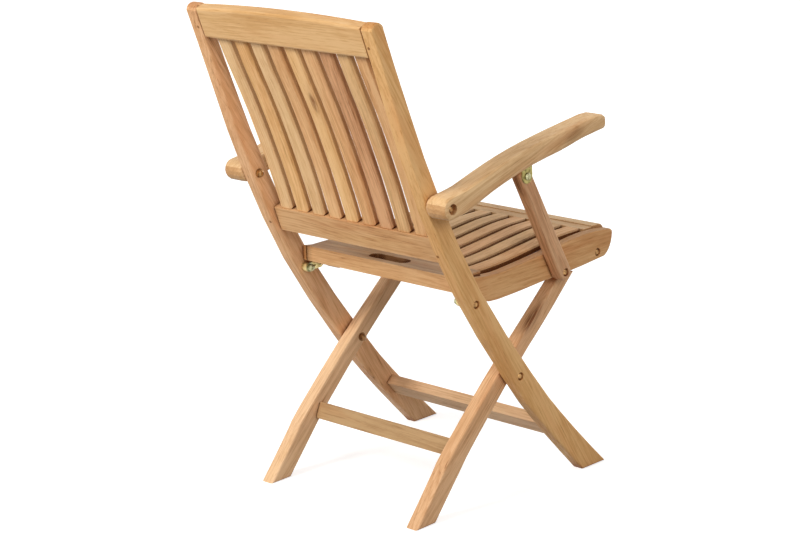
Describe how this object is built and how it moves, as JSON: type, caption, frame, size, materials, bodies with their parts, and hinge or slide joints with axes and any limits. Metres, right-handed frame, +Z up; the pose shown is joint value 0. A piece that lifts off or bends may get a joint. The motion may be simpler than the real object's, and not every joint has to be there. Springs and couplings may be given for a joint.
{
  "type": "folding armchair",
  "caption": "Folding wooden garden armchair with a slatted back, slatted dished seat and arms on crossed legs that fold flat.",
  "frame": {"origin": "centre of the footprint box on the floor, with the chair unfolded and standing", "axes": "+Z up, +Y the way the sitter faces, +X to the sitter's right"},
  "size_m": [0.553, 0.6286, 0.9033],
  "materials": {
    "teak_light": "sanded bare teak, golden tan with darker grain lines",
    "teak_warm": "sanded bare teak, browner, with darker grain lines",
    "brass": "satin, slightly dulled"
  },
  "bodies": {
    "back_frame": {"long_leg_right": "teak_light", "long_leg_left": "teak_light", "top_rail": "teak_light", "lower_back_rail": "teak_light", "back_slat_1": "teak_light", "back_slat_2": "teak_light", "back_slat_3": "teak_light", "back_slat_4": "teak_light", "back_slat_5": "teak_light", "back_slat_6": "teak_light", "back_slat_7": "teak_light", "back_slat_8": "teak_light", "back_slat_9": "teak_light", "front_stretcher": "teak_light", "arm_pivot_bolt_right": "brass", "arm_pivot_bolt_left": "brass", "arm_pivot_nut_right": "brass", "arm_pivot_nut_left": "brass", "leg_pivot_bolt_right": "brass", "leg_pivot_bolt_left": "brass", "leg_pivot_nut_right": "brass", "leg_pivot_nut_left": "brass", "seat_pivot_bolt_right": "brass", "seat_pivot_bolt_left": "brass", "seat_pivot_nut_right": "brass", "seat_pivot_nut_left": "brass"},
    "seat": {"seat_side_rail_right": "teak_warm", "seat_side_rail_left": "teak_warm", "seat_pivot_bracket_right": "brass", "seat_pivot_bracket_left": "brass", "seat_slat_1": "teak_light", "seat_slat_2": "teak_light", "seat_slat_3": "teak_light", "seat_slat_4": "teak_light", "seat_slat_5": "teak_light", "seat_slat_6": "teak_light", "seat_slat_7": "teak_light", "seat_slat_8": "teak_light", "seat_rear_board": "teak_warm", "seat_front_rail": "teak_warm", "seat_nose_rail": "teak_light", "post_foot_bolt_right": "brass", "post_foot_bolt_left": "brass", "post_foot_nut_right": "brass", "post_foot_nut_left": "brass", "front_rail_bolt_right": "brass", "front_rail_bolt_left": "brass"},
    "short_legs": {"short_leg_right": "teak_warm", "short_leg_left": "teak_warm", "rear_stretcher": "teak_warm"},
    "right_arm": {"arm_right": "teak_light", "arm_bracket_right": "brass", "post_head_bolt_right": "brass", "post_head_nut_right": "brass"},
    "right_post": {"arm_post_right": "teak_warm"},
    "left_arm": {"arm_left": "teak_light", "arm_bracket_left": "brass", "post_head_bolt_left": "brass", "post_head_nut_left": "brass"},
    "left_post": {"arm_post_left": "teak_warm"}
  },
  "joints": [
    {"name": "seat_fold", "type": "hinge", "parent": "back_frame", "child": "seat", "pos_m": [0, -0.0906, 0.3805], "axis": [1, 0, 0], "range_deg": [0, 75]},
    {"name": "short_legs_fold", "type": "hinge", "parent": "back_frame", "child": "short_legs", "pos_m": [0, 0.01718, 0.223], "axis": [1, 0, 0], "range_deg": [0, 67.5]},
    {"name": "right_arm_fold", "type": "hinge", "parent": "back_frame", "child": "right_arm", "pos_m": [0, -0.18911, 0.5765], "axis": [1, 0, 0], "range_deg": [0, 75]},
    {"name": "right_post_fold", "type": "hinge", "parent": "right_arm", "child": "right_post", "pos_m": [0, 0.05089, 0.58], "axis": [1, 0, 0], "range_deg": [-75, 0]},
    {"name": "left_arm_fold", "type": "hinge", "parent": "back_frame", "child": "left_arm", "pos_m": [0, -0.18911, 0.5765], "axis": [1, 0, 0], "range_deg": [0, 75]},
    {"name": "left_post_fold", "type": "hinge", "parent": "left_arm", "child": "left_post", "pos_m": [0, 0.05089, 0.58], "axis": [1, 0, 0], "range_deg": [-75, 0]}
  ],
  "couplings": [
    {"joint": "short_legs_fold", "follows": "seat_fold", "ratio": 0.9},
    {"joint": "right_arm_fold", "follows": "seat_fold", "ratio": 1},
    {"joint": "right_post_fold", "follows": "seat_fold", "ratio": -1},
    {"joint": "left_arm_fold", "follows": "seat_fold", "ratio": 1},
    {"joint": "left_post_fold", "follows": "seat_fold", "ratio": -1}
  ]
}
